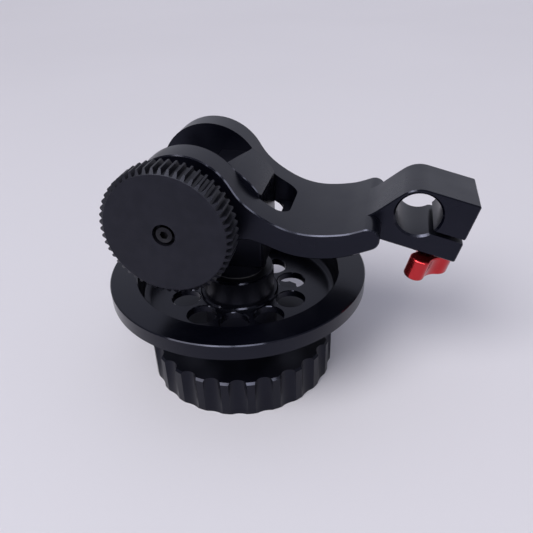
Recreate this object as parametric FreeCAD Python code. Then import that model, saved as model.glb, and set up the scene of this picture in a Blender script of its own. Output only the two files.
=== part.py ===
"""Follow focus unit: a hand wheel that turns a toothed drive gear through a pair of crossed
screw gears, carried on an arm that clamps to a 15 mm rod.

Frame, in millimetres: Z is the hand wheel's axis and points up from the face of the knob that the
unit stands on (Z = 0). Y is the axis of the drive gear and of the rod, from the gear's open face
to the back. X runs along the arm from the gear to the rod clamp.
"""
import FreeCAD, Part
import math
import os

os.makedirs("parts", exist_ok=True)
Vec = FreeCAD.Vector
AXIS_X = Vec(1, 0, 0)
AXIS_Y = Vec(0, 1, 0)
AXIS_Z = Vec(0, 0, 1)

# ---- driving dimensions -------------------------------------------------------------------------
# Hand knob: ridges between scallops that run out towards the open face.
KNOB_RADIUS = 38.35
KNOB_HEIGHT = 16.0
KNOB_SCALLOPS = 24
FIRST_SCALLOP_DEG = -77.7
SCALLOP_DEPTH_TOP = 2.5
SCALLOP_DEPTH_LOW = 0.8
KNOB_RIDGE_WIDTH = 3.0
KNOB_TOP_CHAMFER = 0.8
KNOB_LOW_CHAMFER = 0.3
KNOB_FACE_RECESS_RADIUS = 29.0
KNOB_FACE_RECESS_DEPTH = 1.6
KNOB_BOSS_RADIUS = 20.0
KNOB_CAP_RADIUS = 16.5
KNOB_CAP_THICKNESS = 1.8

# Marking disc: a dish with a flat rim and a floor full of round holes.
DISC_RADIUS = 50.55
DISC_TOP = 44.75
DISC_RIM_HEIGHT = 6.2
DISC_WELL_RADIUS = 40.1
DISC_FLOOR_TOP = 33.2
DISC_FLOOR_THICKNESS = 2.8
DISC_WALL = 2.4
DISC_WELL_FILLET = 3.5
DISC_EDGE = 0.35
DISC_HOLE_EDGE = 0.3
DISC_HOLES = 10
DISC_HOLE_RADIUS = 5.7
DISC_HOLE_CIRCLE = 22.2
DISC_HOLE_START_DEG = -80.4

# Hub of the wheel and its shaft.
HUB_RADIUS = 14.3
HUB_TOP = 44.8
HUB_FLANGE_RADIUS = 16.0
HUB_FLANGE_TOP = 34.4
SPACER_RADIUS = 15.0
HUB_SPIGOT_RADIUS = 9.0
HUB_SPIGOT_BOTTOM = 9.0
WHEEL_SHAFT_RADIUS = 4.0
WHEEL_JOURNAL_RADIUS = 3.0
RUNNING_CLEARANCE = 0.03
FREE_CLEARANCE = 0.2
FACE_GAP = 0.05
TURNED_CHAMFER = 0.5
FRICTION_WASHER_RADIUS = 10.5
RETAINING_RING_RADIUS = 6.4
HUB_SCREW_CIRCLE = 12.1
HUB_SCREW_TOP = 36.4
KNOB_COUNTERBORE_DEPTH = 5.0
WHEEL_SCREW_RECESS_RADIUS = 6.5
WHEEL_SCREW_RECESS_DEPTH = 5.4
WHEEL_WASHER_RADIUS = 6.0
WHEEL_SCREW_HEAD = 4.2
WHEEL_SCREW_HEAD_HEIGHT = 2.4
WHEEL_SCREW_FACE = 2.0
WHEEL_SCREW_LENGTH = 16.0
WHEEL_SCREW_SOCKET = 3.0
WASHER_THICKNESS = 1.0

# Gear case between the two ears of the arm.
CASE_BOTTOM = 51.3
CASE_HALF_LENGTH = 13.3
CASE_CORNER_RADIUS = 1.5
CASE_FOOT_CHAMFER = 0.8
CASE_CHAMBER_RADIUS = 7.1
CASE_SCREW_LENGTH = 13.6
BARREL_RADIUS = 8.8
BRIDGE_LEFT = -7.0
BRIDGE_BOTTOM = 76.0
BRIDGE_FLOOR = 88.6
CROWN_LEFT_FRONT = 2.1
CROWN_LEFT_BACK = 5.0
CROWN_CHAMFER = 0.3
UPPER_BUSH_RADIUS = 5.5
UPPER_BUSH_BOTTOM = 84.4
UPPER_BUSH_TOP = 87.4
COLLAR_RADIUS = 11.5
COLLAR_BOTTOM = 45.6
COLLAR_SPIGOT_RADIUS = 9.5
COLLAR_SPIGOT_TOP = 56.0
COLLAR_CHAMFER = 0.5
LOWER_BUSH_RADIUS = 7.0
EAR_BUSH_RADIUS = 5.0
EAR_BUSH_LIP_RADIUS = 7.0
EAR_BUSH_LIP = 1.0

# Crossed screw gears, both right-handed with a 45 degree helix.
SCREW_TEETH = 12
SCREW_NORMAL_MODULE = 0.7
SCREW_GEAR_LENGTH = 10.0
SCREW_BACKLASH = 0.18
SCREW_PITCH_RADIUS = SCREW_TEETH * SCREW_NORMAL_MODULE / math.cos(math.radians(45)) / 2

# Drive gear: 0.8 module, the pitch of lens gear rings.
GEAR_MODULE = 0.8
GEAR_TEETH = 54
GEAR_WIDTH = 9.6
GEAR_FRONT = -39.5
GEAR_END_BEVEL = 1.1
GEAR_HUB_RADIUS = 9.0
GEAR_AXIS_X = -2 * SCREW_PITCH_RADIUS
GEAR_AXIS_Z = 78.4
GEAR_SHAFT_RADIUS = 3.0
GEAR_SHAFT_START = 6.5
GEAR_SCREW_WELL_RADIUS = 3.85
SLEEVE_RADIUS = 4.4
END_WASHER_RADIUS = 6.0
END_WASHER_CHAMFER = 0.3
END_SCREW_HEAD_HEIGHT = 1.8
END_SCREW_LENGTH = 7.0
DRIVE_PIN_RADIUS = 1.0
DRIVE_PIN_Y = -26.0

# Arm: two ears round the gear shaft, one S-shaped beam, and two short lugs beside the clamp.
ARM_WIDTH = 43.8
EAR_RADIUS = 20.2
EAR_TOP_DEG = 29
EAR_LOW_DEG = -35
SLOT_WIDTH = 23.6
SLOT_END = 22.9
SLOT_CORNER_RADIUS = 5.2
SLOT_LEDGE_TOP = 69.0
SLOT_LOW_END = 17.6
SLOT_LOW_CORNER_RADIUS = 6.0
LUG_X = 51.05
LUG_Z = 72.95
LUG_RADIUS = 3.95
LUG_TOP_DEG = 112
LUG_LOW_DEG = -67
CLAMP_WIDTH = 23.4
CLAMP_TILT_DEG = 14.5
EDGE_CHAMFER = 0.4

# Rod clamp, in its own tilted frame: along its flats and across them, from the rod's axis.
ROD_X = 66.8
ROD_Z = 78.3
ROD_RADIUS = 7.5
ROD_CLEARANCE = 0.05
BORE_LEAD = 0.7
CLAMP_TOP = 9.1
CLAMP_BOTTOM = -12.9
CLAMP_END = 17.4
CLAMP_BOTTOM_START = -11.5
CLAMP_CORNER_RADIUS = 0.7
CLAMP_ARC_START_DEG = 127
SLIT_CENTRE = -4.5
SLIT_WIDTH = 1.5
SLIT_LIP = 0.4
STUD_ALONG = 12.8
STUD_RADIUS = 2.5
STUD_TOP = 4.0
STUD_HEAD_RADIUS = 4.25
STUD_HEAD_HEIGHT = 2.8
STUD_SOCKET = 3.0
CLAMP_WASHER_RADIUS = 5.6

# Thumb lever under the clamp.
LEVER_TOP = -15.0
LEVER_HEIGHT = 8.0
LEVER_HUB_RADIUS = 6.3
LEVER_END_RADIUS = 3.6
LEVER_WAIST_RADIUS = 10.0
LEVER_REACH = 12.6
LEVER_EDGE_RADIUS = 0.9
LEVER_DIRECTION_DEG = -119.4
LEVER_COUNTERBORE_RADIUS = 4.4
LEVER_COUNTERBORE_DEPTH = 3.2

# Small fasteners: shank radius, head radius, head height.
M3_SHANK = 1.5
M3_CAP_HEAD = 2.75
M3_CAP_HEIGHT = 3.0
M3_SOCKET_ACROSS = 2.5
M3_CONE_HEAD = 3.0
M5_SHANK = 2.5

# ---- places worked out from them ----------------------------------------------------------------
ARM_FRONT = -ARM_WIDTH / 2
ARM_BACK = ARM_WIDTH / 2
SLOT_FRONT = -SLOT_WIDTH / 2
SLOT_BACK = SLOT_WIDTH / 2
GEAR_BACK = GEAR_FRONT + GEAR_WIDTH
DISC_FLOOR_BOTTOM = DISC_FLOOR_TOP - DISC_FLOOR_THICKNESS
DISC_RIM_BOTTOM = DISC_TOP - DISC_RIM_HEIGHT
CLAMP_TILT = math.radians(CLAMP_TILT_DEG)


# ---- helpers ------------------------------------------------------------------------------------
def rod_z(radius, z_low, z_high, x=0.0, y=0.0):
    """A round rod along Z."""
    return Part.makeCylinder(radius, z_high - z_low, Vec(x, y, z_low), AXIS_Z)


def rod_y(radius, y_low, y_high, x=GEAR_AXIS_X, z=GEAR_AXIS_Z):
    """A round rod along Y, on the drive gear's axis unless told otherwise."""
    return Part.makeCylinder(radius, y_high - y_low, Vec(x, y_low, z), AXIS_Y)


def block(x_low, x_high, y_low, y_high, z_low, z_high):
    """A block by its six faces."""
    size = (x_high - x_low, y_high - y_low, z_high - z_low)
    return Part.makeBox(size[0], size[1], size[2], Vec(x_low, y_low, z_low))


def direction(angle_deg):
    """A unit step in the XZ plane."""
    return (math.cos(math.radians(angle_deg)), math.sin(math.radians(angle_deg)))


def spline_xz(points, start, end):
    """A smooth curve through points of the XZ plane, with its directions at both ends."""
    curve = Part.BSplineCurve()
    places = [Vec(x, 0, z) for x, z in points]
    curve.interpolate(Points=places, InitialTangent=Vec(start[0], 0, start[1]),
                      FinalTangent=Vec(end[0], 0, end[1]))
    return curve.toShape()


def line_xz(start, end):
    return Part.makeLine(Vec(start[0], 0, start[1]), Vec(end[0], 0, end[1]))


def arc_xz(start, middle, end):
    points = [Vec(x, 0, z) for x, z in (start, middle, end)]
    return Part.Arc(points[0], points[1], points[2]).toShape()


def prism_y(edges, y_low, y_high):
    """The closed outline in the XZ plane, swept along Y between two planes."""
    face = Part.Face(Part.Wire(edges))
    face.translate(Vec(0, y_low, 0))
    return face.extrude(Vec(0, y_high - y_low, 0))


def edges_on_planes_y(shape, planes):
    """Edges that lie wholly in one of the planes Y = value."""
    found = []
    for edge in shape.Edges:
        box = edge.BoundBox
        for plane in planes:
            if abs(box.YMin - plane) < 1e-3 and abs(box.YMax - plane) < 1e-3:
                found.append(edge)
    return found


def edges_at_height(shape, heights, radius_low=0.0, radius_high=1e9):
    """Level edges at the given heights, kept between two radii from the Z axis."""
    found = []
    for edge in shape.Edges:
        box = edge.BoundBox
        point = edge.valueAt(edge.FirstParameter)
        radius = math.hypot(point.x, point.y)
        for height in heights:
            level = abs(box.ZMin - height) < 1e-3 and abs(box.ZMax - height) < 1e-3
            if level and radius_low <= radius <= radius_high:
                found.append(edge)
    return found


def hex_prism(across_flats, length, base, direction):
    """A hexagonal bar from base along direction."""
    corner = across_flats / math.sqrt(3)
    steps = [math.radians(60 * k) for k in range(7)]
    outline = Part.makePolygon([Vec(corner * math.cos(a), corner * math.sin(a), 0) for a in steps])
    bar = Part.Face(outline).extrude(Vec(0, 0, length))
    bar.Placement = FreeCAD.Placement(base, FreeCAD.Rotation(AXIS_Z, direction))
    return bar


def cap_screw(shank_radius, head_radius, head_height, length, top, direction, socket):
    """A socket cap screw. top is the centre of the head's face, direction points down the shank."""
    head = Part.makeCylinder(head_radius, head_height, top, direction)
    neck = top + direction * head_height
    shank = Part.makeCylinder(shank_radius, length, neck, direction)
    depth = head_height * 0.6
    return head.fuse(shank).cut(hex_prism(socket, depth, top, direction)).removeSplitter()


def cone_screw(shank_radius, head_radius, length, top, direction, socket):
    """A countersunk screw whose length includes the head."""
    cone_height = head_radius - shank_radius
    head = Part.makeCone(head_radius, shank_radius, cone_height, top, direction)
    shank = Part.makeCylinder(shank_radius, length, top, direction)
    depth = cone_height * 0.8
    return head.fuse(shank).cut(hex_prism(socket, depth, top, direction)).removeSplitter()


def from_clamp(along, across, y=0.0):
    """A point of the clamp's tilted frame, in the object's frame."""
    x = ROD_X + along * math.cos(CLAMP_TILT) + across * math.sin(CLAMP_TILT)
    z = ROD_Z - along * math.sin(CLAMP_TILT) + across * math.cos(CLAMP_TILT)
    return Vec(x, y, z)


CLAMP_PLACEMENT = FreeCAD.Placement(Vec(ROD_X, 0, ROD_Z), FreeCAD.Rotation(AXIS_Y, CLAMP_TILT_DEG))


def in_clamp_frame(shape):
    """Moves a shape drawn with X along the clamp's flats and Z across them to its real place."""
    moved = shape.copy()
    moved.Placement = CLAMP_PLACEMENT.multiply(moved.Placement)
    return moved


NODES = {}


def keep(name, *solids):
    """Stores one node: a single solid, or a group of like ones."""
    NODES[name] = solids[0] if len(solids) == 1 else Part.makeCompound(list(solids))


# ---- arm ----------------------------------------------------------------------------------------
def on_ear(angle_deg, radius=EAR_RADIUS):
    angle = math.radians(angle_deg)
    return (GEAR_AXIS_X + radius * math.cos(angle), GEAR_AXIS_Z + radius * math.sin(angle))


def lug_point(angle_deg):
    """A point on the rounded end of the lugs beside the clamp."""
    angle = math.radians(angle_deg)
    return (LUG_X + LUG_RADIUS * math.cos(angle), LUG_Z + LUG_RADIUS * math.sin(angle))


def over_rod(angle_deg):
    """A point on the arc of the clamp's top, which is concentric with the rod."""
    angle = math.radians(angle_deg)
    return (ROD_X + CLAMP_TOP * math.cos(angle), ROD_Z + CLAMP_TOP * math.sin(angle))


def arm_curves():
    """What the beam and the clamp share: the beam's sagging top, its underside and the round ear."""
    ear_top, ear_low = on_ear(EAR_TOP_DEG), on_ear(EAR_LOW_DEG)
    top = [ear_top, (9.6, 83.1), (14.0, 79.5), (22.5, 74.9), (32.2, 73.1), (42.0, 74.1),
           lug_point(LUG_TOP_DEG)]
    low = [lug_point(LUG_LOW_DEG), (45.8, 66.4), (39.2, 64.6), (32.4, 64.0), (25.4, 64.7),
           (17.5, 67.3), (10.5, 69.2), ear_low]
    return (spline_xz(top, direction(EAR_TOP_DEG - 90), direction(LUG_TOP_DEG - 90)),
            spline_xz(low, direction(LUG_LOW_DEG - 90), direction(EAR_LOW_DEG - 90)),
            arc_xz(ear_low, on_ear(190), ear_top))


def beam_outline():
    """Side view of the full width: round ear, sagging beam and rounded lugs, all running smoothly on."""
    top, low, ear = arm_curves()
    return [top, arc_xz(lug_point(LUG_TOP_DEG), lug_point(19), lug_point(LUG_LOW_DEG)), low, ear]


def clamp_outline():
    """Side view of the middle: the beam rises into an arc over the rod, then slopes down in flats."""
    def tilted(along, across):
        point = from_clamp(along, across)
        return (point.x, point.z)

    top, low, ear = arm_curves()
    arc_end_deg = 90 - CLAMP_TILT_DEG
    arc_start, flat_start = over_rod(CLAMP_ARC_START_DEG), over_rod(arc_end_deg)
    round_off = CLAMP_CORNER_RADIUS
    inset = round_off * (1 - math.sqrt(0.5))
    top_corner = [tilted(CLAMP_END - round_off, CLAMP_TOP), tilted(CLAMP_END - inset, CLAMP_TOP - inset),
                  tilted(CLAMP_END, CLAMP_TOP - round_off)]
    low_corner = [tilted(CLAMP_END, CLAMP_BOTTOM + round_off),
                  tilted(CLAMP_END - inset, CLAMP_BOTTOM + inset),
                  tilted(CLAMP_END - round_off, CLAMP_BOTTOM)]
    bottom_left = tilted(CLAMP_BOTTOM_START, CLAMP_BOTTOM)
    rise = spline_xz([lug_point(LUG_TOP_DEG), (54.1, 79.6), arc_start],
                     direction(LUG_TOP_DEG - 90), direction(CLAMP_ARC_START_DEG - 90))
    return [top, rise,
            arc_xz(arc_start, over_rod((CLAMP_ARC_START_DEG + arc_end_deg) / 2), flat_start),
            line_xz(flat_start, top_corner[0]),
            arc_xz(*top_corner),
            line_xz(top_corner[2], low_corner[0]),
            arc_xz(*low_corner),
            line_xz(low_corner[2], bottom_left),
            line_xz(bottom_left, lug_point(LUG_LOW_DEG)),
            low, ear]


def case_screw_places():
    """Where the screws through the ears meet the gear case: X and Z of each."""
    return [(1.5, 84.0), (1.5, 70.0)]


def slab_with_edges(outline, half_width):
    """A slab centred on the XZ plane, with a small chamfer round both of its faces."""
    slab = prism_y(outline, -half_width, half_width)
    return slab.makeChamfer(EDGE_CHAMFER, edges_on_planes_y(slab, (-half_width, half_width)))


def slot_cutter(x_end, corner_radius, z_low, z_high):
    """The space between the ears, with its far corners rounded."""
    slot = block(-60, x_end, SLOT_FRONT, SLOT_BACK, z_low, z_high)
    corners = []
    for edge in slot.Edges:
        if edge.BoundBox.XMin > x_end - 1e-3 and edge.BoundBox.ZLength > 1:
            corners.append(edge)
    return slot.makeFillet(corner_radius, corners)


def make_arm():
    """The clamp's slab runs on through the beam, so the beam's top flows into the clamp's."""
    beam = slab_with_edges(beam_outline(), ARM_BACK)
    clamp_half = CLAMP_WIDTH / 2
    arm = beam.fuse(slab_with_edges(clamp_outline(), clamp_half))
    arm = arm.cut(slot_cutter(SLOT_END, SLOT_CORNER_RADIUS, SLOT_LEDGE_TOP, 110))
    arm = arm.cut(slot_cutter(SLOT_LOW_END, SLOT_LOW_CORNER_RADIUS, 40, SLOT_LEDGE_TOP))

    bore_radius = ROD_RADIUS + ROD_CLEARANCE
    arm = arm.cut(rod_y(bore_radius, -60, 60, ROD_X, ROD_Z))
    for side in (-1, 1):
        mouth = Part.makeCone(bore_radius + BORE_LEAD, bore_radius, BORE_LEAD,
                              Vec(ROD_X, side * clamp_half, ROD_Z), AXIS_Y * -side)
        arm = arm.cut(mouth)
    slit_low, slit_high = SLIT_CENTRE - SLIT_WIDTH / 2, SLIT_CENTRE + SLIT_WIDTH / 2
    slit = block(4.0, 40, -60, 60, slit_low, slit_high)
    lip = SLIT_LIP
    mouth = [(CLAMP_END - lip, slit_low), (CLAMP_END - lip, slit_high),
             (CLAMP_END + lip, slit_high + 2 * lip), (CLAMP_END + lip, slit_low - 2 * lip)]
    slit_mouth = prism_y([line_xz(mouth[k - 1], mouth[k]) for k in range(4)], -60, 60)
    tapped = rod_z(STUD_RADIUS + RUNNING_CLEARANCE, -8, STUD_TOP + 0.5, STUD_ALONG)
    passing = rod_z(STUD_RADIUS + FREE_CLEARANCE, -30, SLIT_CENTRE, STUD_ALONG)
    for cutter in (slit, slit_mouth, tapped, passing):
        arm = arm.cut(in_clamp_frame(cutter))
    arm = arm.cut(rod_y(EAR_BUSH_RADIUS, -60, 60))
    for x, z in case_screw_places():
        for side in (-1, 1):
            top = Vec(x, side * ARM_BACK, z)
            arm = arm.cut(Part.makeCylinder(M3_SHANK, 12, top, AXIS_Y * -side))
            arm = arm.cut(Part.makeCone(M3_CONE_HEAD, M3_SHANK, M3_CONE_HEAD - M3_SHANK, top,
                                        AXIS_Y * -side))
    keep("swing_arm", arm.removeSplitter())


# ---- gear case ----------------------------------------------------------------------------------
def case_block(x_low, z_low, z_high):
    """The block that fills the slot, with the corners towards the beam rounded."""
    case = block(x_low, CASE_HALF_LENGTH, SLOT_FRONT, SLOT_BACK, z_low, z_high)
    corners = []
    for edge in case.Edges:
        if edge.BoundBox.XMin > CASE_HALF_LENGTH - 1e-3 and edge.BoundBox.ZLength > 1:
            corners.append(edge)
    return case.makeFillet(CASE_CORNER_RADIUS, corners)


def make_gear_case():
    """The case fills the slot between the ears: a block below, a round barrel over the gear shaft."""
    case = case_block(-CASE_HALF_LENGTH, CASE_BOTTOM, BRIDGE_BOTTOM)
    case = case.makeChamfer(CASE_FOOT_CHAMFER, edges_at_height(case, (CASE_BOTTOM,)))
    case = case.fuse(rod_y(BARREL_RADIUS, SLOT_FRONT, SLOT_BACK)).removeSplitter()
    case = case.cut(block(BRIDGE_LEFT, CASE_HALF_LENGTH, SLOT_FRONT, SLOT_BACK, BRIDGE_BOTTOM, 95))
    keep("gear_case", cut_gear_space(case))


def make_case_bridge():
    """Upper half of the case. Its crown stands proud of the sagging beam, and its left edge is skewed."""
    crown_left, crown_middle = on_ear(50), on_ear(35.8)
    crown_right = (CASE_HALF_LENGTH, 81.2)
    outline = [arc_xz(crown_left, on_ear(43), crown_middle),
               arc_xz(crown_middle, (8.9, 86.8), crown_right),
               line_xz(crown_right, (CASE_HALF_LENGTH, BRIDGE_BOTTOM)),
               line_xz((CASE_HALF_LENGTH, BRIDGE_BOTTOM), (BRIDGE_LEFT, BRIDGE_BOTTOM)),
               line_xz((BRIDGE_LEFT, BRIDGE_BOTTOM), (BRIDGE_LEFT, BRIDGE_FLOOR)),
               line_xz((BRIDGE_LEFT, BRIDGE_FLOOR), (crown_left[0], BRIDGE_FLOOR)),
               line_xz((crown_left[0], BRIDGE_FLOOR), crown_left)]
    bridge = prism_y(outline, SLOT_FRONT, SLOT_BACK)
    crown_edges = []
    for edge in edges_on_planes_y(bridge, (SLOT_FRONT, SLOT_BACK)):
        box = edge.BoundBox
        if box.ZMax > 85 and box.XMin > crown_left[0] - 0.1 and box.XLength > 1:
            crown_edges.append(edge)
    bridge = bridge.makeChamfer(CROWN_CHAMFER, crown_edges)
    left_of_crown = Part.makePolygon([Vec(-20, SLOT_FRONT, BRIDGE_FLOOR),
                                      Vec(CROWN_LEFT_FRONT, SLOT_FRONT, BRIDGE_FLOOR),
                                      Vec(CROWN_LEFT_BACK, SLOT_BACK, BRIDGE_FLOOR),
                                      Vec(-20, SLOT_BACK, BRIDGE_FLOOR),
                                      Vec(-20, SLOT_FRONT, BRIDGE_FLOOR)])
    bridge = bridge.cut(Part.Face(left_of_crown).extrude(Vec(0, 0, 20)))
    bridge = bridge.common(case_block(BRIDGE_LEFT, BRIDGE_BOTTOM, 100))
    bridge = bridge.cut(rod_z(UPPER_BUSH_RADIUS, UPPER_BUSH_BOTTOM, UPPER_BUSH_TOP))
    keep("case_bridge", cut_gear_space(bridge))


def cut_gear_space(case):
    """Hollows the case for the two screw gears and taps it for the screws through the ears."""
    case = case.cut(rod_z(CASE_CHAMBER_RADIUS, COLLAR_SPIGOT_TOP, UPPER_BUSH_BOTTOM))
    case = case.cut(rod_z(COLLAR_SPIGOT_RADIUS, CASE_BOTTOM, COLLAR_SPIGOT_TOP))
    case = case.cut(rod_y(CASE_CHAMBER_RADIUS, SLOT_FRONT, SLOT_BACK))
    for x, z in case_screw_places():
        for side in (-1, 1):
            start = Vec(x, side * ARM_BACK, z)
            case = case.cut(Part.makeCylinder(M3_SHANK, CASE_SCREW_LENGTH + 0.4, start, AXIS_Y * -side))
    return case.removeSplitter()


def make_case_screws():
    screws = []
    for x, z in case_screw_places():
        for side in (-1, 1):
            top = Vec(x, side * ARM_BACK, z)
            screws.append(cone_screw(M3_SHANK, M3_CONE_HEAD, CASE_SCREW_LENGTH, top, AXIS_Y * -side, 2.0))
    keep("case_screws", *screws)


def make_bearings():
    """A turned collar carries the lower bush. The other bushes sit in the case and in the ears."""
    collar = rod_z(COLLAR_RADIUS, COLLAR_BOTTOM, CASE_BOTTOM)
    collar = collar.makeChamfer(COLLAR_CHAMFER, edges_at_height(collar, (COLLAR_BOTTOM,), COLLAR_RADIUS - 1))
    collar = collar.fuse(rod_z(COLLAR_SPIGOT_RADIUS, CASE_BOTTOM, COLLAR_SPIGOT_TOP))
    collar = collar.cut(rod_z(LOWER_BUSH_RADIUS, COLLAR_BOTTOM, COLLAR_SPIGOT_TOP))
    keep("bearing_collar", collar.removeSplitter())

    bore = WHEEL_SHAFT_RADIUS + RUNNING_CLEARANCE
    bush = rod_z(LOWER_BUSH_RADIUS, COLLAR_BOTTOM + FREE_CLEARANCE, COLLAR_SPIGOT_TOP)
    keep("lower_bush", bush.cut(rod_z(bore, 40, 60)))
    bore = WHEEL_JOURNAL_RADIUS + RUNNING_CLEARANCE
    bush = rod_z(UPPER_BUSH_RADIUS, UPPER_BUSH_BOTTOM, UPPER_BUSH_TOP)
    keep("upper_bush", bush.cut(rod_z(bore, 80, 90)))
    bore = GEAR_SHAFT_RADIUS + RUNNING_CLEARANCE
    for name, side in (("front_bush", -1), ("rear_bush", 1)):
        inner, outer = side * SLOT_BACK, side * ARM_BACK
        rim = outer + side * EAR_BUSH_LIP
        body = rod_y(EAR_BUSH_RADIUS, min(inner, outer), max(inner, outer))
        lip = rod_y(EAR_BUSH_LIP_RADIUS, min(outer, rim), max(outer, rim))
        keep(name, body.fuse(lip).cut(rod_y(bore, -60, 60)).removeSplitter())


# ---- gears --------------------------------------------------------------------------------------
def tooth_ring(teeth, root, tip, root_share, tip_share, turn_deg=0.0):
    """Closed outline of straight-flanked teeth. The shares are parts of one pitch."""
    points = []
    pitch = 360.0 / teeth
    for k in range(teeth):
        middle = k * pitch + turn_deg
        for radius, share in ((root, -root_share), (tip, -tip_share), (tip, tip_share), (root, root_share)):
            angle = math.radians(middle + share * pitch / 2)
            points.append(Vec(radius * math.cos(angle), radius * math.sin(angle), 0))
    points.append(points[0])
    return Part.makePolygon(points)


def screw_gear(length, first_turn_deg):
    """A right-handed 45 degree helical gear along Z, centred on the origin."""
    tip = SCREW_PITCH_RADIUS + 0.8 * SCREW_NORMAL_MODULE
    root = SCREW_PITCH_RADIUS - 1.15 * SCREW_NORMAL_MODULE
    pitch_arc = 2 * math.pi * SCREW_PITCH_RADIUS / SCREW_TEETH
    half = 0.5 - SCREW_BACKLASH / pitch_arc
    sections = []
    steps = 10
    for k in range(steps + 1):
        z = length * (k / steps - 0.5)
        twist = math.degrees(z / SCREW_PITCH_RADIUS) + first_turn_deg
        ring = tooth_ring(SCREW_TEETH, root, tip, half + 0.14, half - 0.17, twist)
        ring.translate(Vec(0, 0, z))
        sections.append(ring)
    return Part.makeLoft(sections, True, True)


def make_drive_gear():
    """A spur gear whose teeth are bevelled down to their roots at both faces."""
    pitch_radius = GEAR_MODULE * GEAR_TEETH / 2
    root, tip = pitch_radius - 1.1 * GEAR_MODULE, pitch_radius + GEAR_MODULE
    gear = Part.Face(tooth_ring(GEAR_TEETH, root, tip, 0.60, 0.24)).extrude(Vec(0, 0, GEAR_WIDTH))
    face_radius = root - 0.15
    middle = GEAR_WIDTH / 2
    middle_radius = face_radius + (tip - face_radius) * middle / GEAR_END_BEVEL
    open_end = Part.makeCone(face_radius, middle_radius, middle, Vec(0, 0, 0), AXIS_Z)
    arm_end = Part.makeCone(middle_radius, face_radius, middle, Vec(0, 0, middle), AXIS_Z)
    gear = gear.common(open_end.fuse(arm_end))
    to_axis = FreeCAD.Rotation(AXIS_Z, AXIS_Y)
    gear.Placement = FreeCAD.Placement(Vec(GEAR_AXIS_X, GEAR_FRONT, GEAR_AXIS_Z), to_axis)
    gear = gear.fuse(rod_y(GEAR_HUB_RADIUS, GEAR_BACK, ARM_FRONT - EAR_BUSH_LIP - FREE_CLEARANCE))
    well_depth = M3_CAP_HEIGHT + 0.3
    gear = gear.cut(rod_y(GEAR_SCREW_WELL_RADIUS, GEAR_FRONT, GEAR_FRONT + well_depth))
    gear = gear.cut(rod_y(M3_SHANK, GEAR_FRONT, -30))
    gear = gear.cut(rod_y(GEAR_SHAFT_RADIUS, GEAR_FRONT + GEAR_SHAFT_START, 0))
    gear = gear.cut(rod_z(DRIVE_PIN_RADIUS, 60, 100, GEAR_AXIS_X, DRIVE_PIN_Y))
    keep("drive_gear", gear.removeSplitter())

    top = Vec(GEAR_AXIS_X, GEAR_FRONT + 0.3, GEAR_AXIS_Z)
    keep("gear_screw", cap_screw(M3_SHANK, M3_CAP_HEAD, M3_CAP_HEIGHT, 9.0, top, AXIS_Y, M3_SOCKET_ACROSS))
    pin_half = GEAR_HUB_RADIUS - 0.3
    pin = rod_z(DRIVE_PIN_RADIUS, GEAR_AXIS_Z - pin_half, GEAR_AXIS_Z + pin_half, GEAR_AXIS_X, DRIVE_PIN_Y)
    keep("gear_drive_pin", pin)


def make_gear_shaft():
    shaft_start, shaft_end = GEAR_FRONT + GEAR_SHAFT_START, ARM_BACK + EAR_BUSH_LIP + FREE_CLEARANCE
    shaft = rod_y(GEAR_SHAFT_RADIUS, shaft_start, shaft_end)
    shaft = shaft.cut(rod_y(M3_SHANK, shaft_start, shaft_start + 6))
    shaft = shaft.cut(rod_y(M3_SHANK, shaft_end - 8, shaft_end))
    shaft = shaft.cut(rod_z(DRIVE_PIN_RADIUS, 60, 100, GEAR_AXIS_X, DRIVE_PIN_Y))
    keep("gear_shaft", shaft)

    washer_back = shaft_end + WASHER_THICKNESS
    washer = rod_y(END_WASHER_RADIUS, shaft_end, washer_back).cut(rod_y(M3_SHANK, 0, 40))
    rim = [e for e in edges_on_planes_y(washer, (washer_back,)) if e.BoundBox.XLength > END_WASHER_RADIUS]
    keep("shaft_washer", washer.makeChamfer(END_WASHER_CHAMFER, rim))
    top = Vec(GEAR_AXIS_X, washer_back + END_SCREW_HEAD_HEIGHT, GEAR_AXIS_Z)
    keep("shaft_end_screw", cap_screw(M3_SHANK, M3_CAP_HEAD, END_SCREW_HEAD_HEIGHT, END_SCREW_LENGTH, top,
                                      AXIS_Y * -1, M3_SOCKET_ACROSS))

    gear_end = SCREW_GEAR_LENGTH / 2
    sleeves = []
    for y_low, y_high in ((SLOT_FRONT + FREE_CLEARANCE, -gear_end), (gear_end, SLOT_BACK - FREE_CLEARANCE)):
        sleeves.append(rod_y(SLEEVE_RADIUS, y_low, y_high).cut(rod_y(GEAR_SHAFT_RADIUS, -60, 60)))
    keep("shaft_sleeves", *sleeves)

    pinion = screw_gear(SCREW_GEAR_LENGTH, 0.0)
    to_axis = FreeCAD.Rotation(Vec(0, 0, 1), Vec(0, 1, 0))
    pinion.Placement = FreeCAD.Placement(Vec(GEAR_AXIS_X, 0, GEAR_AXIS_Z), to_axis)
    keep("shaft_screw_gear", pinion.cut(rod_y(GEAR_SHAFT_RADIUS, -60, 60)))


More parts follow.
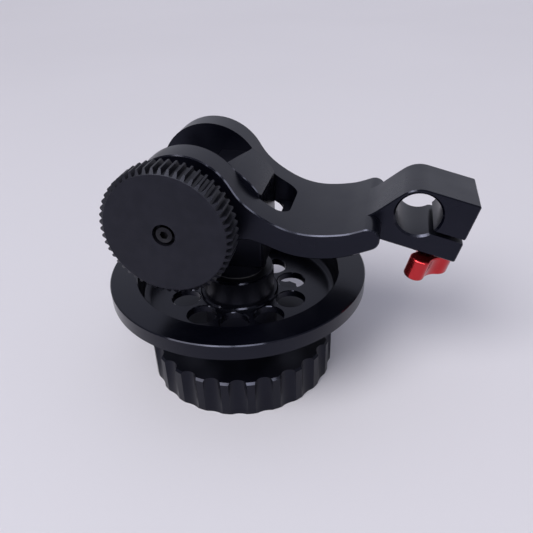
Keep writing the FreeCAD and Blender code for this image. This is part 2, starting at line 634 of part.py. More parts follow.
# ---- hand wheel ---------------------------------------------------------------------------------
def make_wheel_shaft():
    shoulder = UPPER_BUSH_BOTTOM - FREE_CLEARANCE
    shaft = rod_z(WHEEL_SHAFT_RADIUS, HUB_SPIGOT_BOTTOM, shoulder)
    shaft = shaft.fuse(rod_z(WHEEL_JOURNAL_RADIUS, shoulder, UPPER_BUSH_TOP - FREE_CLEARANCE))
    shaft = shaft.cut(rod_z(M5_SHANK, HUB_SPIGOT_BOTTOM, HUB_SPIGOT_BOTTOM + 12))
    keep("wheel_shaft", shaft.removeSplitter())

    wheel_gear = screw_gear(SCREW_GEAR_LENGTH, 180.0 / SCREW_TEETH)
    wheel_gear.translate(Vec(0, 0, GEAR_AXIS_Z))
    keep("wheel_screw_gear", wheel_gear.cut(rod_z(WHEEL_SHAFT_RADIUS, 60, 100)))

    ring_low = COLLAR_SPIGOT_TOP + FREE_CLEARANCE
    ring = rod_z(RETAINING_RING_RADIUS, ring_low, ring_low + WASHER_THICKNESS)
    ring = ring.cut(rod_z(WHEEL_SHAFT_RADIUS, 50, 60))
    keep("wheel_retaining_ring", ring.cut(block(-1.5, 1.5, 0, 8, 50, 60)))


def make_hub():
    hub = rod_z(HUB_RADIUS, HUB_FLANGE_TOP, HUB_TOP)
    hub = hub.makeChamfer(TURNED_CHAMFER, edges_at_height(hub, (HUB_TOP,)))
    flange = rod_z(HUB_FLANGE_RADIUS, DISC_FLOOR_TOP, HUB_FLANGE_TOP)
    flange = flange.makeChamfer(TURNED_CHAMFER, edges_at_height(flange, (HUB_FLANGE_TOP,)))
    hub = hub.fuse(flange).fuse(rod_z(HUB_SPIGOT_RADIUS, HUB_SPIGOT_BOTTOM, DISC_FLOOR_TOP))
    hub = hub.cut(rod_z(WHEEL_SHAFT_RADIUS, 0, 60))
    for x, y in hub_screw_places():
        hub = hub.cut(rod_z(M3_SHANK, 0, HUB_SCREW_TOP, x, y))
    keep("wheel_hub", hub.removeSplitter())

    washer_top = COLLAR_BOTTOM - FACE_GAP
    washer = rod_z(FRICTION_WASHER_RADIUS, HUB_TOP, washer_top).cut(rod_z(WHEEL_SHAFT_RADIUS, 40, 50))
    keep("friction_washer", washer)

    spacer = rod_z(SPACER_RADIUS, KNOB_HEIGHT, DISC_FLOOR_BOTTOM)
    spacer = spacer.cut(rod_z(HUB_SPIGOT_RADIUS, 0, 60))
    for x, y in hub_screw_places():
        spacer = spacer.cut(rod_z(M3_SHANK, 0, 60, x, y))
    keep("disc_spacer", spacer)


def hub_screw_places():
    """Three screws on a circle midway through the spacer's wall."""
    places = []
    for k in range(3):
        angle = math.radians(30 + 120 * k)
        places.append((HUB_SCREW_CIRCLE * math.cos(angle), HUB_SCREW_CIRCLE * math.sin(angle)))
    return places


def make_disc():
    """Turned dish: the profile is swept about Z, then the floor is drilled."""
    well = DISC_WELL_RADIUS
    outer_wall = well + DISC_WALL
    edge = DISC_EDGE
    profile = [(HUB_SPIGOT_RADIUS, DISC_FLOOR_BOTTOM), (outer_wall - 2, DISC_FLOOR_BOTTOM),
               (outer_wall, DISC_FLOOR_BOTTOM + 2), (outer_wall, DISC_RIM_BOTTOM),
               (DISC_RADIUS - edge, DISC_RIM_BOTTOM), (DISC_RADIUS, DISC_RIM_BOTTOM + edge),
               (DISC_RADIUS, DISC_TOP - edge), (DISC_RADIUS - edge, DISC_TOP),
               (well + edge, DISC_TOP), (well, DISC_TOP - edge),
               (well, DISC_FLOOR_TOP), (HUB_SPIGOT_RADIUS, DISC_FLOOR_TOP)]
    points = [Vec(r, 0, z) for r, z in profile]
    disc = Part.Face(Part.makePolygon(points + [points[0]])).revolve(Vec(0, 0, 0), AXIS_Z, 360)
    foot_of_wall = edges_at_height(disc, (DISC_FLOOR_TOP,), well - 0.1, well + 0.1)
    disc = disc.makeFillet(DISC_WELL_FILLET, foot_of_wall)
    for k in range(DISC_HOLES):
        angle = math.radians(DISC_HOLE_START_DEG + 360.0 * k / DISC_HOLES)
        x, y = DISC_HOLE_CIRCLE * math.cos(angle), DISC_HOLE_CIRCLE * math.sin(angle)
        disc = disc.cut(rod_z(DISC_HOLE_RADIUS, 20, 50, x, y))
        edge_ring = Part.makeCone(DISC_HOLE_RADIUS, DISC_HOLE_RADIUS + DISC_HOLE_EDGE, DISC_HOLE_EDGE,
                                  Vec(x, y, DISC_FLOOR_TOP - DISC_HOLE_EDGE), AXIS_Z)
        disc = disc.cut(edge_ring)
    for x, y in hub_screw_places():
        disc = disc.cut(rod_z(M3_SHANK, 20, 50, x, y))
    keep("marking_disc", disc)


def scalloped_outline(depth, height):
    """Closed outline of the knob at one height: a round ridge and a hollow, in turn."""
    step = 360.0 / KNOB_SCALLOPS
    ridge = math.degrees(KNOB_RIDGE_WIDTH / KNOB_RADIUS) / 2

    def at(angle_deg, radius=KNOB_RADIUS):
        angle = math.radians(angle_deg)
        return Vec(radius * math.cos(angle), radius * math.sin(angle), height)

    edges = []
    for k in range(KNOB_SCALLOPS):
        middle = FIRST_SCALLOP_DEG + k * step
        hollow_end, next_start = middle + step / 2 - ridge, middle + step / 2 + ridge
        edges.append(Part.Arc(at(2 * middle - hollow_end), at(middle, KNOB_RADIUS - depth),
                              at(hollow_end)).toShape())
        edges.append(Part.Arc(at(hollow_end), at(middle + step / 2), at(next_start)).toShape())
    return Part.Wire(edges)


def make_knob():
    """Scalloped body, hollowed from below for the boss, the cap and the screws."""
    knob = Part.makeLoft([scalloped_outline(SCALLOP_DEPTH_LOW, 0),
                          scalloped_outline(SCALLOP_DEPTH_TOP, KNOB_HEIGHT)], True, True)
    blank = rod_z(KNOB_RADIUS + 0.01, 0, KNOB_HEIGHT)
    blank = blank.makeChamfer(KNOB_TOP_CHAMFER, edges_at_height(blank, (KNOB_HEIGHT,)))
    knob = knob.common(blank.makeChamfer(KNOB_LOW_CHAMFER, edges_at_height(blank, (0,))))
    recess = Part.makeCone(KNOB_FACE_RECESS_RADIUS + 0.6, KNOB_FACE_RECESS_RADIUS, KNOB_FACE_RECESS_DEPTH)
    recess = recess.cut(rod_z(KNOB_BOSS_RADIUS, 0, KNOB_FACE_RECESS_DEPTH))
    knob = knob.cut(recess).cut(rod_z(KNOB_CAP_RADIUS, 0, KNOB_CAP_THICKNESS))
    knob = knob.cut(rod_z(HUB_SPIGOT_RADIUS, HUB_SPIGOT_BOTTOM, KNOB_HEIGHT))
    knob = knob.cut(rod_z(WHEEL_SCREW_RECESS_RADIUS, 0, WHEEL_SCREW_RECESS_DEPTH))
    knob = knob.cut(rod_z(M5_SHANK, 0, KNOB_HEIGHT))
    for x, y in hub_screw_places():
        knob = knob.cut(rod_z(M3_SHANK, 0, KNOB_HEIGHT, x, y))
        knob = knob.cut(rod_z(3.0, 0, KNOB_COUNTERBORE_DEPTH, x, y))
    keep("hand_knob", knob.removeSplitter())
    keep("knob_cap", rod_z(KNOB_CAP_RADIUS, 0, KNOB_CAP_THICKNESS))


def make_wheel_screws():
    screws = []
    for x, y in hub_screw_places():
        top = Vec(x, y, KNOB_COUNTERBORE_DEPTH - M3_CAP_HEIGHT)
        screws.append(cap_screw(M3_SHANK, M3_CAP_HEAD, M3_CAP_HEIGHT, 31.0, top, AXIS_Z, M3_SOCKET_ACROSS))
    keep("hub_screws", *screws)
    washer_low = WHEEL_SCREW_RECESS_DEPTH - WASHER_THICKNESS
    washer = rod_z(WHEEL_WASHER_RADIUS, washer_low, WHEEL_SCREW_RECESS_DEPTH)
    washer = washer.cut(rod_z(M5_SHANK, 0, 10))
    keep("wheel_screw_washer", washer)
    keep("wheel_screw", cap_screw(M5_SHANK, WHEEL_SCREW_HEAD, WHEEL_SCREW_HEAD_HEIGHT, WHEEL_SCREW_LENGTH,
                                  Vec(0, 0, WHEEL_SCREW_FACE), AXIS_Z, WHEEL_SCREW_SOCKET))


# ---- clamp lever --------------------------------------------------------------------------------
def lever_plan():
    """Outline of the lever: a round hub and a round finger end, joined by a waist of two hollow arcs."""
    hub_gap = LEVER_HUB_RADIUS + LEVER_WAIST_RADIUS
    end_gap = LEVER_END_RADIUS + LEVER_WAIST_RADIUS
    waist_x = (LEVER_REACH ** 2 + hub_gap ** 2 - end_gap ** 2) / (2 * LEVER_REACH)
    waist_y = math.sqrt(hub_gap ** 2 - waist_x ** 2)
    on_hub = Vec(waist_x, waist_y, 0) * (LEVER_HUB_RADIUS / hub_gap)
    end_centre = Vec(LEVER_REACH, 0, 0)
    on_end = end_centre + Vec(waist_x - LEVER_REACH, waist_y, 0) * (LEVER_END_RADIUS / end_gap)
    waist_middle = Vec(waist_x, waist_y - LEVER_WAIST_RADIUS, 0)

    def mirrored(point):
        return Vec(point.x, -point.y, 0)

    return Part.Wire([
        Part.Arc(mirrored(on_hub), Vec(-LEVER_HUB_RADIUS, 0, 0), on_hub).toShape(),
        Part.Arc(on_hub, waist_middle, on_end).toShape(),
        Part.Arc(on_end, end_centre + Vec(LEVER_END_RADIUS, 0, 0), mirrored(on_end)).toShape(),
        Part.Arc(mirrored(on_end), mirrored(waist_middle), mirrored(on_hub)).toShape()])


def make_lever():
    """A round hub with one thumb arm. It is drawn in the clamp's tilted frame."""
    low = LEVER_TOP - LEVER_HEIGHT
    lever = Part.Face(lever_plan()).extrude(Vec(0, 0, LEVER_HEIGHT))
    lever.translate(Vec(0, 0, low))
    rims = [e for e in lever.Edges if e.BoundBox.ZLength < 1e-6]
    lever = lever.makeFillet(LEVER_EDGE_RADIUS, rims)
    lever = lever.cut(rod_z(STUD_RADIUS, low, LEVER_TOP))
    lever = lever.cut(rod_z(LEVER_COUNTERBORE_RADIUS, low, low + LEVER_COUNTERBORE_DEPTH))
    lever.rotate(Vec(0, 0, 0), AXIS_Z, LEVER_DIRECTION_DEG)
    lever.translate(Vec(STUD_ALONG, 0, 0))
    keep("clamp_lever", in_clamp_frame(lever))

    head_face = low + LEVER_COUNTERBORE_DEPTH - STUD_HEAD_HEIGHT
    shank = STUD_TOP - head_face - STUD_HEAD_HEIGHT
    stud = cap_screw(STUD_RADIUS, STUD_HEAD_RADIUS, STUD_HEAD_HEIGHT, shank, Vec(STUD_ALONG, 0, head_face),
                     AXIS_Z, STUD_SOCKET)
    keep("clamp_stud", in_clamp_frame(stud))

    washer = rod_z(CLAMP_WASHER_RADIUS, LEVER_TOP + FACE_GAP, CLAMP_BOTTOM - FACE_GAP, STUD_ALONG)
    washer = washer.cut(rod_z(STUD_RADIUS + RUNNING_CLEARANCE, LEVER_TOP, CLAMP_BOTTOM, STUD_ALONG))
    keep("clamp_washer", in_clamp_frame(washer))


# ---- build --------------------------------------------------------------------------------------
make_arm()
make_gear_case()
make_case_bridge()
make_case_screws()
make_bearings()
make_drive_gear()
make_gear_shaft()
make_wheel_shaft()
make_hub()
make_disc()
make_knob()
make_wheel_screws()
make_lever()

for node, shape in NODES.items():
    shape.exportStep("parts/" + node + ".step")
    print(node, len(shape.Solids), "solid(s), valid", shape.isValid(), "volume", round(shape.Volume, 1))
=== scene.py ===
# %% [markdown]
# # A follow focus unit, built cell by cell
# The metalwork comes in as a fixed frame: every part at its real size and in its real place.
# Blender's job is the looks. The unit is black anodised aluminium, which shows almost nothing of
# itself. What the eye reads is the pale room mirrored softly in it, the fine lines that the cutter
# left, and the thin bright chamfers. So most of this lesson is about roughness, bump and light.

import math

import bmesh
import bpy
from mathutils import Matrix, Vector

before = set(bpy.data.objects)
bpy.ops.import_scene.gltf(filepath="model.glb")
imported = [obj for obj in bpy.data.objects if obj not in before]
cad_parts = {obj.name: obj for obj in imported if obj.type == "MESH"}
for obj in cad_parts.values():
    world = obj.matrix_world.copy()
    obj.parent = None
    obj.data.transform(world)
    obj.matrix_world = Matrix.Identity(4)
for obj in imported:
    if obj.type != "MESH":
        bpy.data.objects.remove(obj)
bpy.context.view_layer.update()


# %% [markdown]
# ## The camera
# The camera looks down on the unit from the gear's side, about 32 degrees below the horizon and
# turned a little to the left. A camera is described most plainly by its place, three angles and a
# focal length. The focal length is in pixels of a square picture here, so that the view is the same
# whatever the sensor is called.

# %% Camera from its place and three angles
PICTURE_SIDE = 533
FOCAL_LENGTH_PX = 550.5
SENSOR_WIDTH_MM = 36
NEAREST_SEEN = 0.005
CAMERA_PLACE = Vector((0.05594, -0.18116, 0.16128))
CAMERA_YAW = math.radians(-13.72)
CAMERA_PITCH = math.radians(31.89)
CAMERA_ROLL = math.radians(1.87)


def camera_axes(yaw, pitch, roll):
    """Right, up and backward directions of a camera, in that order."""
    forward = Vector((math.sin(yaw) * math.cos(pitch), math.cos(yaw) * math.cos(pitch), -math.sin(pitch)))
    right = Vector((math.cos(yaw), -math.sin(yaw), 0))
    down = forward.cross(right)
    turned_right = right * math.cos(roll) + down * math.sin(roll)
    turned_down = down * math.cos(roll) - right * math.sin(roll)
    return turned_right, -turned_down, -forward


def make_camera():
    data = bpy.data.cameras.new("camera")
    data.sensor_width = SENSOR_WIDTH_MM
    data.lens = FOCAL_LENGTH_PX / PICTURE_SIDE * SENSOR_WIDTH_MM
    data.clip_start = NEAREST_SEEN
    camera = bpy.data.objects.new("camera", data)
    axes = camera_axes(CAMERA_YAW, CAMERA_PITCH, CAMERA_ROLL)
    rotation = Matrix(axes).transposed().to_4x4()
    camera.matrix_world = Matrix.Translation(CAMERA_PLACE) @ rotation
    bpy.context.scene.collection.objects.link(camera)
    bpy.context.scene.camera = camera
    return camera


camera = make_camera()
print("camera lens", round(camera.data.lens, 2), "mm on a", SENSOR_WIDTH_MM, "mm sensor")

# %% [markdown]
# ## The room
# Black metal is a dark mirror, so the room is part of the finish. The world is an even pale grey
# with a cool cast, which every face mirrors a little. It could be a painted panorama, but then every
# change of the lamps would need a new painting. An even grey and a few lamps are easier to steer.

# %% World and view settings
scene = bpy.context.scene
scene.view_settings.view_transform = "Standard"
WORLD_COLOUR = (0.88, 0.89, 1.0, 1)
WORLD_STRENGTH = 0.43


def make_world():
    world = bpy.data.worlds.new("room")
    world.use_nodes = True
    background = world.node_tree.nodes["Background"]
    background.inputs["Color"].default_value = WORLD_COLOUR
    background.inputs["Strength"].default_value = WORLD_STRENGTH
    scene.world = world


make_world()
print("world strength", WORLD_STRENGTH)

# %% [markdown]
# ## The lamps
# A wide sun stands for the softbox above, to the left and in front: it lights the floor evenly and
# throws the soft shadow back and to the right. A panel in front makes the near floor a little
# brighter than the far one. Colours are meant to render about as they are written, so the light on a
# level white card adds up to about 1. A lamp can be a sun, whose light is the same everywhere, or a
# square that fades with distance. Two small helpers make either kind and turn it to the unit.

# %% Two kinds of lamp
MIDDLE = Vector((0.02, 0.0, 0.05))


def place_lamp(name, data, place):
    """Links a lamp that stands at place and faces the middle of the unit."""
    lamp = bpy.data.objects.new(name, data)
    lamp.location = place
    lamp.rotation_euler = (MIDDLE - Vector(place)).to_track_quat("-Z", "Y").to_euler()
    scene.collection.objects.link(lamp)
    return lamp


def soft_sun(name, place, spread_deg, strength, colour):
    """Even light from one side. The wider the spread, the softer the shadow."""
    data = bpy.data.lights.new(name, "SUN")
    data.angle = math.radians(spread_deg)
    data.energy = strength
    data.color = colour
    return place_lamp(name, data, place)


def square_lamp(name, place, side, watts, colour=(1, 1, 1)):
    """A square lamp. Polished faces mirror it as a glint of its shape."""
    data = bpy.data.lights.new(name, "AREA")
    data.size = side
    data.energy = watts
    data.color = colour
    return place_lamp(name, data, place)


print("lamps face", [round(value, 3) for value in MIDDLE])

# %% Lamps that light the unit and the floor
SUN_PLACE = (-0.33, -0.57, 0.75)
SUN_SPREAD_DEG = 34
SUN_STRENGTH = 1.77
SUN_COLOUR = (1, 0.97, 0.93)
PANEL_PLACE = (0.0, -0.566, 0.606)
PANEL_SIDE = 0.5
PANEL_WATTS = 1.6

lamps = [
    soft_sun("softbox_above", SUN_PLACE, SUN_SPREAD_DEG, SUN_STRENGTH, SUN_COLOUR),
    square_lamp("front_panel", PANEL_PLACE, PANEL_SIDE, PANEL_WATTS),
]
print("lamps", [(lamp.name, round(lamp.data.energy, 2)) for lamp in lamps])

# %% [markdown]
# ## Things to mirror
# The other lamps are there to be mirrored, and their light is taken out of the matt surfaces. A pale
# sheet behind the unit lifts the faces that look up. A row of ceiling lamps, falling from left to
# right, draws thin bright lines along the chamfers: one lamp gives a short glint, and only a row
# keeps the line going round a curve.

# %% Lamps that only shiny faces show
SHEET_PLACE = (0.0, 1.6, 1.0)
SHEET_SIDE = 2.4
SHEET_WATTS = 4.4
SHEET_COLOUR = (0.80, 0.83, 1.0)
ROW_LEFT = Vector((-0.44, -0.68, 1.12))
ROW_RIGHT = Vector((1.01, -0.68, 0.52))
ROW_COUNT = 5
ROW_LAMP_SIDE = 0.34
ROW_LAMP_WATTS = 2.6


def mirrored_only(lamp):
    """Takes the lamp out of the plain light, so that only shiny faces show it."""
    lamp.visible_diffuse = False
    return lamp


lamps.append(mirrored_only(square_lamp("sheet_behind", SHEET_PLACE, SHEET_SIDE, SHEET_WATTS, SHEET_COLOUR)))
for number in range(ROW_COUNT):
    place = ROW_LEFT.lerp(ROW_RIGHT, number / (ROW_COUNT - 1))
    lamp = square_lamp(f"row_lamp_{number + 1}", place, ROW_LAMP_SIDE, ROW_LAMP_WATTS)
    lamps.append(mirrored_only(lamp))
print("only mirrored", [lamp.name for lamp in lamps if not lamp.visible_diffuse])

# %% [markdown]
# ## The floor
# The unit stands on a plain pale sheet, large enough to fill the picture up to its top edge. One
# flat face does for it, because its shade comes from the material and the shadow.

# %% Floor sheet
FLOOR_HALF_SIZE = 6.0


def make_floor():
    mesh = bmesh.new()
    bmesh.ops.create_grid(mesh, x_segments=1, y_segments=1, size=FLOOR_HALF_SIZE)
    data = bpy.data.meshes.new("floor")
    mesh.to_mesh(data)
    mesh.free()
    floor = bpy.data.objects.new("floor", data)
    scene.collection.objects.link(floor)
    return floor


floor = make_floor()
print("floor faces", len(floor.data.polygons))

# %% [markdown]
# ## Materials
# Every material starts from the same few steps, so they live in one small class and a few helpers.
# The class holds the node tree, adds nodes with their settings in one call, and wires them. It could
# all be clicked together in the shader editor, but in code each number can be read and changed.

# %% A material under construction


class Finish:
    """A material with its node tree, its shader and the relief added to it so far."""

    def __init__(self, name, colour, roughness, metallic=0.0):
        self.material = bpy.data.materials.new(name)
        self.material.use_nodes = True
        self.tree = self.material.node_tree
        self.shader = self.tree.nodes["Principled BSDF"]
        self.set("Base Color", (*colour, 1))
        self.set("Roughness", roughness)
        self.set("Metallic", metallic)
        self.place = self.add("ShaderNodeTexCoord").outputs["Object"]
        self.normal = None

    def set(self, name, value):
        """Gives an input of the shader one value for the whole surface."""
        self.shader.inputs[name].default_value = value

    def link(self, output, name):
        """Wires a pattern to an input of the shader."""
        self.tree.links.new(output, self.shader.inputs[name])

    def add(self, kind, settings=(), inputs=()):
        """A new node. An input is either wired from another node's output or set to a value."""
        node = self.tree.nodes.new(kind)
        for name, value in dict(settings).items():
            setattr(node, name, value)
        for name, value in dict(inputs).items():
            if isinstance(value, bpy.types.NodeSocket):
                self.tree.links.new(value, node.inputs[name])
            else:
                node.inputs[name].default_value = value
        return node


print("materials start as a", Finish.__name__)

# %% [markdown]
# ## Patterns
# Nothing on a machined part is quite even, so a pattern drives each finish. Patterns are laid out in
# the Object coordinate, which for these parts is the shared frame in metres: a scale of 1000
# therefore means about one spot per millimetre. Noise of stretched coordinates gives lines, as a
# cutter leaves them.

# %% Spots, lines and ramps


def spots(finish, scale, detail, vector=None):
    """Soft random spots, about scale of them to a metre."""
    inputs = {"Vector": vector or finish.place, "Scale": scale, "Detail": detail}
    return finish.add("ShaderNodeTexNoise", inputs=inputs).outputs["Fac"]


def stretched(finish, scale):
    """Coordinates scaled differently along each axis."""
    inputs = {"Vector": finish.place, "Scale": scale}
    return finish.add("ShaderNodeMapping", inputs=inputs).outputs["Vector"]


def lines(finish, scale):
    """Soft random lines along the axes that have the small scales."""
    return spots(finish, scale=1, detail=2, vector=stretched(finish, scale))


def ramp(finish, pattern, low, high, start=0.3, end=0.7):
    """Maps a 0 to 1 pattern to a range of numbers, with soft ends."""
    inputs = {"Value": pattern, "From Min": start, "From Max": end, "To Min": low, "To Max": high}
    settings = {"interpolation_type": "SMOOTHSTEP"}
    return finish.add("ShaderNodeMapRange", settings, inputs).outputs["Result"]


print("patterns ready")

# %% Colour and relief from a pattern
# The colour version of the Mix node has its two colours and its result at these places.
MIX_COLOUR_A = 6
MIX_COLOUR_B = 7
MIX_COLOUR_RESULT = 2


def colour_between(finish, pattern, first, second):
    """Base colour that drifts between two, by a pattern."""
    factor = ramp(finish, pattern, low=0, high=1)
    inputs = {"Factor": factor, MIX_COLOUR_A: (*first, 1), MIX_COLOUR_B: (*second, 1)}
    node = finish.add("ShaderNodeMix", {"data_type": "RGBA"}, inputs)
    finish.link(node.outputs[MIX_COLOUR_RESULT], "Base Color")


def relief(finish, pattern, strength, depth):
    """Adds a layer of bump. Layers stack in the order they are added."""
    inputs = {"Height": pattern, "Strength": strength, "Distance": depth}
    if finish.normal:
        inputs["Normal"] = finish.normal
    finish.normal = finish.add("ShaderNodeBump", inputs=inputs).outputs["Normal"]
    finish.link(finish.normal, "Normal")


print("colour and relief ready")

# %% [markdown]
# ## Where the chamfers are
# The chamfers come last on the machine, with a fresh sharp tool, so they are smoother than the faces
# and catch thin bright lines. They could be picked out face by face, but a face of a chamfer can be
# told by its normal alone, which leans half way between two of the part's directions.

# %% Smoother chamfers
CHAMFER_LEAN = 0.7071
CHAMFER_TOLERANCE = 0.10
# The number version of the Mix node has its factor, its two numbers and its result at these places.
MIX_FACTOR = 0
MIX_NUMBER_A = 2
MIX_NUMBER_B = 3
MIX_NUMBER_RESULT = 0


def chamfer_mask(finish, axis):
    """1 on faces whose normal leans 45 degrees from the axis, 0 elsewhere."""
    normal = finish.add("ShaderNodeTexCoord").outputs["Normal"]
    lean = finish.add("ShaderNodeSeparateXYZ", inputs={"Vector": normal}).outputs[axis]
    size = finish.add("ShaderNodeMath", {"operation": "ABSOLUTE"}, {0: lean}).outputs[0]
    inputs = {0: size, 1: CHAMFER_LEAN, 2: CHAMFER_TOLERANCE}
    return finish.add("ShaderNodeMath", {"operation": "COMPARE"}, inputs).outputs[0]


def roughness_but_on_chamfers(finish, axis, roughness, chamfer_roughness):
    """One roughness on the faces, which may be a pattern, and another on the chamfers."""
    inputs = {MIX_FACTOR: chamfer_mask(finish, axis), MIX_NUMBER_A: roughness,
              MIX_NUMBER_B: chamfer_roughness}
    node = finish.add("ShaderNodeMix", {"data_type": "FLOAT"}, inputs)
    finish.link(node.outputs[MIX_NUMBER_RESULT], "Roughness")


print("chamfers lean", round(math.degrees(math.acos(CHAMFER_LEAN))), "degrees")

# %% [markdown]
# ## Black anodising
# Anodising grows a glassy, dyed skin on the metal, so it reflects like a dielectric and not like
# bare metal: dark face on, pale at a glancing angle. Under the skin the blasted or milled surface
# still shows. Three layers are enough: a broad drift in roughness and colour, faint cutter lines in
# the direction that the part was machined, and a very fine grain.

# %% Cutter lines, straight or in rings
LINES_ALONG_BEAM = (25, 1500, 25)
BLASTED_SPOTS = (900, 900, 900)
RINGS_ABOUT_Z = "rings"
RINGS_PER_METRE = 2600


def cutter_lines(finish, direction):
    """Height of the lines that the tool left. Rings are noise of the distance from the Z axis."""
    if direction != RINGS_ABOUT_Z:
        return lines(finish, direction)
    flat_place = {"Vector": stretched(finish, (1, 1, 0))}
    radius = finish.add("ShaderNodeVectorMath", {"operation": "LENGTH"}, flat_place).outputs["Value"]
    inputs = {"W": radius, "Scale": RINGS_PER_METRE, "Detail": 2}
    return finish.add("ShaderNodeTexNoise", {"noise_dimensions": "1D"}, inputs).outputs["Fac"]


# %% Black anodised metal
BLACK = (0.0008, 0.0010, 0.0028)
BLACK_WORN = (0.0018, 0.0020, 0.0045)
BLACK_SHEEN = (0.53, 0.55, 0.74, 1)
SKIN_IOR = 1.42
SMOOTH_CHAMFER_ROUGHNESS = 0.11
DRIFT_PER_METRE = 55
GRAIN_PER_METRE = 6000
FINE_DEPTH = 0.00002


def black_anodised(name, direction, chamfer_axis, line_strength, roughness, grain=0.06):
    finish = Finish(name, BLACK, roughness[0])
    drift = spots(finish, DRIFT_PER_METRE, detail=4)
    colour_between(finish, drift, BLACK, BLACK_WORN)
    face_roughness = ramp(finish, drift, low=roughness[0], high=roughness[1])
    roughness_but_on_chamfers(finish, chamfer_axis, face_roughness, SMOOTH_CHAMFER_ROUGHNESS)
    relief(finish, cutter_lines(finish, direction), line_strength, FINE_DEPTH)
    relief(finish, spots(finish, GRAIN_PER_METRE, detail=2), grain, FINE_DEPTH)
    finish.set("IOR", SKIN_IOR)
    finish.set("Specular Tint", BLACK_SHEEN)
    return finish.material


print("black skin, refractive index", SKIN_IOR)

# %% The same black on four machined surfaces
black_milled = black_anodised(
    "black_milled", LINES_ALONG_BEAM, chamfer_axis="Y", line_strength=0.10, roughness=(0.27, 0.36))
black_turned = black_anodised(
    "black_turned", RINGS_ABOUT_Z, chamfer_axis="Z", line_strength=0.08, roughness=(0.20, 0.27))
black_blasted = black_anodised(
    "black_blasted", BLASTED_SPOTS, chamfer_axis="Z", line_strength=0.10, roughness=(0.28, 0.38), grain=0.10)
black_deep = black_anodised(
    "black_deep", RINGS_ABOUT_Z, chamfer_axis="Z", line_strength=0.06, roughness=(0.36, 0.44))
print("made", black_milled.name, black_turned.name, black_blasted.name, black_deep.name)

# %% [markdown]
# ## The moulded gear
# The drive gear is moulded, matt and a little grey, with a fine even grain all over. Grain this
# small is better made as bump than as shape: it only spreads the reflection. The bevels at the ends
# of the teeth are smoother, so each one catches a soft light of its own.

# %% Moulded gear
GEAR_GREY = (0.007, 0.007, 0.010)
GEAR_DARK = (0.005, 0.005, 0.008)
GEAR_LIGHT = (0.008, 0.008, 0.012)
GEAR_SHEEN = (0.52, 0.54, 0.68, 1)
GEAR_BEVEL_ROUGHNESS = 0.20
GEAR_GRAIN_DEPTH = 0.00004


def moulded_gear():
    finish = Finish("moulded_gear", GEAR_GREY, roughness=0.44)
    colour_between(finish, spots(finish, scale=260, detail=5), GEAR_DARK, GEAR_LIGHT)
    matt = ramp(finish, spots(finish, scale=40, detail=3), low=0.38, high=0.50)
    roughness_but_on_chamfers(finish, "Y", matt, GEAR_BEVEL_ROUGHNESS)
    relief(finish, spots(finish, scale=2600, detail=4), strength=0.22, depth=GEAR_GRAIN_DEPTH)
    finish.set("IOR", SKIN_IOR)
    finish.set("Specular Tint", GEAR_SHEEN)
    return finish.material


gear_finish = moulded_gear()
print("made", gear_finish.name)

# %% [markdown]
# ## The red lever
# The thumb lever is anodised over bright metal, so its red is a metal's red: tinted reflections,
# deep in the shade. A plain red paint would stay red where the lever turns from the light. Its faint
# lines run up and down, along the cutter that milled its sides.

# %% Red anodised lever
LEVER_RED = (0.46, 0.030, 0.035)
LEVER_DEEP = (0.39, 0.022, 0.026)
LEVER_LIGHT = (0.53, 0.038, 0.044)
LINES_UP_THE_LEVER = (1800, 1800, 60)


def red_anodised():
    finish = Finish("lever_red", LEVER_RED, roughness=0.16, metallic=0.95)
    drift = spots(finish, scale=120, detail=3)
    colour_between(finish, drift, LEVER_DEEP, LEVER_LIGHT)
    finish.link(ramp(finish, drift, low=0.13, high=0.22), "Roughness")
    relief(finish, lines(finish, LINES_UP_THE_LEVER), strength=0.10, depth=FINE_DEPTH)
    return finish.material


lever_finish = red_anodised()
print("made", lever_finish.name)

# %% [markdown]
# ## Steels, bronze and washers
# The screws are oil-black steel, and the bushes, washers and shafts are what a lathe leaves: bare
# metal with fine lines. One function makes them all, because only the colour and the polish differ.
# The two slip washers are dark plastic, with nothing but a faint grain.

# %% Bare metals
LATHE_LINES = (2200, 40, 2200)
BRIGHTER_BY = 0.05
DULLER_BY = 0.08


def plain_metal(name, dark, light, roughness):
    finish = Finish(name, light, roughness, metallic=1.0)
    drift = spots(finish, scale=90, detail=4)
    colour_between(finish, drift, dark, light)
    polish = ramp(finish, drift, low=roughness - BRIGHTER_BY, high=roughness + DULLER_BY)
    finish.link(polish, "Roughness")
    relief(finish, lines(finish, LATHE_LINES), strength=0.15, depth=FINE_DEPTH)
    return finish.material


black_steel = plain_metal("black_steel", (0.022, 0.022, 0.026), (0.045, 0.045, 0.050), roughness=0.34)
ground_steel = plain_metal("ground_steel", (0.50, 0.50, 0.52), (0.62, 0.62, 0.64), roughness=0.26)
turned_bronze = plain_metal("turned_bronze", (0.50, 0.33, 0.15), (0.62, 0.43, 0.22), roughness=0.32)
print("made", black_steel.name, ground_steel.name, turned_bronze.name)

# %% Slip washers
WASHER_GREY = (0.05, 0.05, 0.055)
WASHER_GRAIN_DEPTH = 0.00003


def slip_washer():
    finish = Finish("slip_washer", WASHER_GREY, roughness=0.5)
    finish.link(ramp(finish, spots(finish, scale=150, detail=3), low=0.45, high=0.6), "Roughness")
    relief(finish, spots(finish, scale=3000, detail=3), strength=0.1, depth=WASHER_GRAIN_DEPTH)
    return finish.material


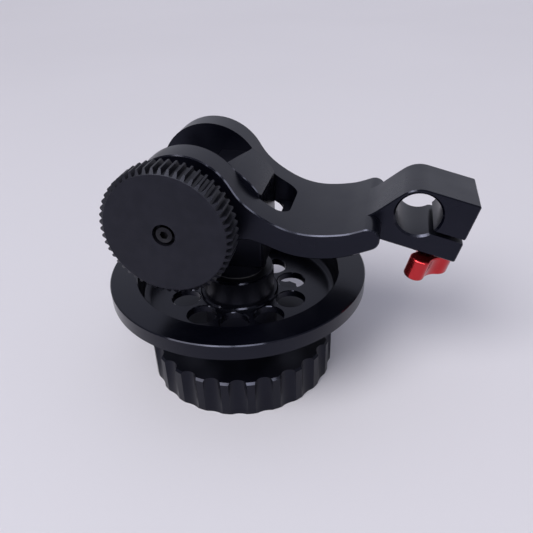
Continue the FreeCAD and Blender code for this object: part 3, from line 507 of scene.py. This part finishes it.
slip_finish = slip_washer()
print("made", slip_finish.name)

# %% [markdown]
# ## The floor's finish
# The sheet is pale, with a faint cool cast and a hardly visible drift. It is rough and hardly shines,
# so that the shadow falls on it softly and nothing is mirrored in it.

# %% Floor material
FLOOR_PALE = (0.738, 0.728, 0.795)
FLOOR_SHADE = (0.722, 0.712, 0.778)
FLOOR_GLOSS = 0.1
FLOOR_GRAIN_DEPTH = 0.0002


def paper_floor():
    finish = Finish("pale_floor", FLOOR_PALE, roughness=0.8)
    colour_between(finish, spots(finish, scale=2.2, detail=2), FLOOR_SHADE, FLOOR_PALE)
    finish.set("Specular IOR Level", FLOOR_GLOSS)
    relief(finish, spots(finish, scale=1200, detail=2), strength=0.05, depth=FLOOR_GRAIN_DEPTH)
    return finish.material


floor.data.materials.append(paper_floor())
print("floor finish", floor.data.materials[0].name)

# %% [markdown]
# ## Dress the frame
# Each part of the frame keeps its shape and gets its finish by name. A table of finishes and the
# parts that carry them is easier to check than a line for each part.

# %% Give every part its finish
FINISH_OF = {
    black_milled: ["swing_arm", "case_bridge", "gear_case"],
    black_turned: ["marking_disc", "knob_cap"],
    black_deep: ["wheel_hub", "disc_spacer", "bearing_collar"],
    black_blasted: ["hand_knob"],
    gear_finish: ["drive_gear"],
    lever_finish: ["clamp_lever"],
    black_steel: ["case_screws", "gear_screw", "hub_screws", "wheel_screw", "shaft_end_screw", "clamp_stud"],
    ground_steel: ["gear_drive_pin", "gear_shaft", "wheel_shaft", "shaft_washer", "wheel_screw_washer",
                   "wheel_retaining_ring", "shaft_sleeves", "shaft_screw_gear"],
    turned_bronze: ["wheel_screw_gear", "lower_bush", "upper_bush", "front_bush", "rear_bush"],
    slip_finish: ["friction_washer", "clamp_washer"],
}


def dress(node, material):
    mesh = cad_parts[node].data
    mesh.materials.clear()
    mesh.materials.append(material)


for material, nodes in FINISH_OF.items():
    for node in nodes:
        dress(node, material)
undressed = set(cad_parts) - {node for nodes in FINISH_OF.values() for node in nodes}
print("parts without a finish:", sorted(undressed))
